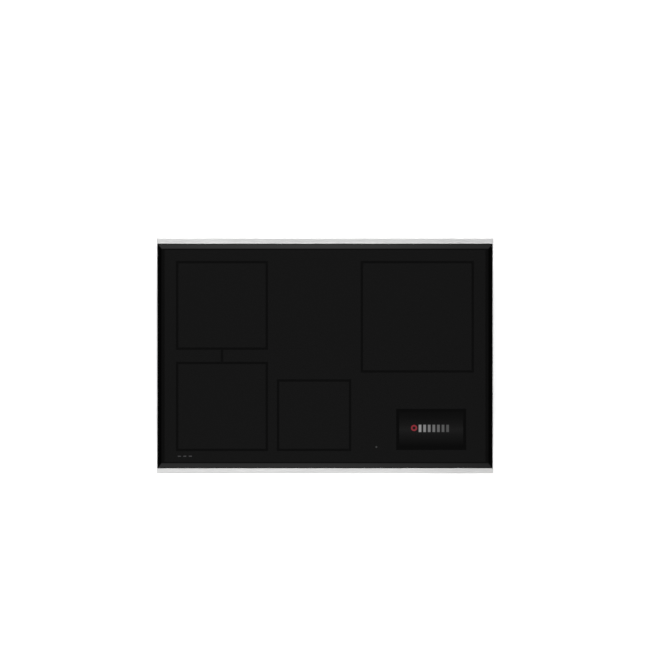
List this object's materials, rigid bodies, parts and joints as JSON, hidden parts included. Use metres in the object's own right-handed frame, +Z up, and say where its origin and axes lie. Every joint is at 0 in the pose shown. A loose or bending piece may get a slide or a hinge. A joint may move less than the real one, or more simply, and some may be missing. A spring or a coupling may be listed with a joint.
{
  "type": "electric induction cooktop",
  "caption": "Built-in induction cooktop: bevelled black glass in a stainless trim over a shallow burner box with coils, power boards, blowers and hold-down clamps.",
  "frame": {"origin": "middle of the burner box's flat underside, below the middle of the glass", "axes": "+X to the right and +Y to the rear as the cook stands, +Z up"},
  "size_m": [0.762, 0.5334, 0.105],
  "materials": {
    "black_glass": "polished black glass-ceramic with bevelled edges",
    "stainless": "fine brushed along the bar",
    "silicone": "matt cured silicone",
    "foam": "closed-cell sealing foam",
    "galvanised": "galvanised sheet with a fine spangle",
    "aluminium_sheet": "mill finish",
    "litz_copper": "enamelled stranded copper wire",
    "mica": "pressed mica sheet",
    "circuit_board": "green solder mask",
    "cream_plastic": "moulded heat-resistant plastic",
    "zinc_casting": "die-cast zinc alloy",
    "black_plastic": "moulded black plastic",
    "display_glass": "dark display face",
    "ferrite": "sintered ferrite",
    "sensor_ceramic": "unglazed ceramic",
    "grey_plastic": "moulded grey plastic",
    "blue_plastic": "moulded capacitor case",
    "plated_steel": "zinc plated"
  },
  "bodies": {
    "cooktop": {"glass_panel": "black_glass", "rear_trim": "stainless", "front_trim": "stainless", "left_trim": "stainless", "right_trim": "stainless", "glass_adhesive": "silicone", "worktop_gasket": "foam", "burner_box": "galvanised", "junction_cover": "galvanised", "coil_plate": "aluminium_sheet", "coil_winding_right_rear_inner": "litz_copper", "mica_sheet_left": "mica", "mica_sheet_centre": "mica", "mica_sheet_right": "mica", "filter_board": "circuit_board", "supply_board": "circuit_board", "filter_choke": "litz_copper", "terminal_block": "cream_plastic", "conduit_connector": "zinc_casting", "mains_harness": "black_plastic", "control_tray": "black_plastic", "touch_board": "circuit_board", "display_module": "display_glass", "power_key_pad": "silicone", "coil_winding_left_rear": "litz_copper", "coil_carrier_left_rear": "cream_plastic", "ferrite_star_left_rear": "ferrite", "heat_sensor_left_rear": "sensor_ceramic", "coil_winding_left_front": "litz_copper", "coil_carrier_left_front": "cream_plastic", "ferrite_star_left_front": "ferrite", "heat_sensor_left_front": "sensor_ceramic", "coil_winding_centre_front": "litz_copper", "coil_carrier_centre_front": "cream_plastic", "ferrite_star_centre_front": "ferrite", "heat_sensor_centre_front": "sensor_ceramic", "coil_winding_right_rear": "litz_copper", "coil_carrier_right_rear": "cream_plastic", "ferrite_star_right_rear": "ferrite", "heat_sensor_right_rear": "sensor_ceramic", "blower_housing_left": "black_plastic", "blower_motor_left": "zinc_casting", "generator_board_left": "circuit_board", "heat_sink_left": "aluminium_sheet", "bus_capacitor_left": "blue_plastic", "clamp_bracket_left_front": "galvanised", "clamp_bracket_left_rear": "galvanised", "blower_housing_right": "black_plastic", "blower_motor_right": "zinc_casting", "generator_board_right": "circuit_board", "heat_sink_right": "aluminium_sheet", "bus_capacitor_right": "blue_plastic", "clamp_bracket_right_front": "galvanised", "clamp_bracket_right_rear": "galvanised"},
    "left_blower_wheel": {"blower_impeller_left": "grey_plastic"},
    "right_blower_wheel": {"blower_impeller_right": "grey_plastic"},
    "left_front_clamp_screw": {"clamp_screw_left_front": "plated_steel"},
    "left_rear_clamp_screw": {"clamp_screw_left_rear": "plated_steel"},
    "right_front_clamp_screw": {"clamp_screw_right_front": "plated_steel"},
    "right_rear_clamp_screw": {"clamp_screw_right_rear": "plated_steel"}
  },
  "joints": [
    {"name": "left_blower_spin", "type": "hinge", "parent": "cooktop", "child": "left_blower_wheel", "pos_m": [-0.066, 0.085, 0.02], "axis": [0, 0, 1], "continuous": true},
    {"name": "right_blower_spin", "type": "hinge", "parent": "cooktop", "child": "right_blower_wheel", "pos_m": [0.066, 0.165, 0.02], "axis": [0, 0, 1], "continuous": true},
    {"name": "left_front_clamp_lift", "type": "slide", "parent": "cooktop", "child": "left_front_clamp_screw", "axis": [0, 0, 1], "range_m": [0, 0.02]},
    {"name": "left_rear_clamp_lift", "type": "slide", "parent": "cooktop", "child": "left_rear_clamp_screw", "axis": [0, 0, 1], "range_m": [0, 0.02]},
    {"name": "right_front_clamp_lift", "type": "slide", "parent": "cooktop", "child": "right_front_clamp_screw", "axis": [0, 0, 1], "range_m": [0, 0.02]},
    {"name": "right_rear_clamp_lift", "type": "slide", "parent": "cooktop", "child": "right_rear_clamp_screw", "axis": [0, 0, 1], "range_m": [0, 0.02]}
  ]
}
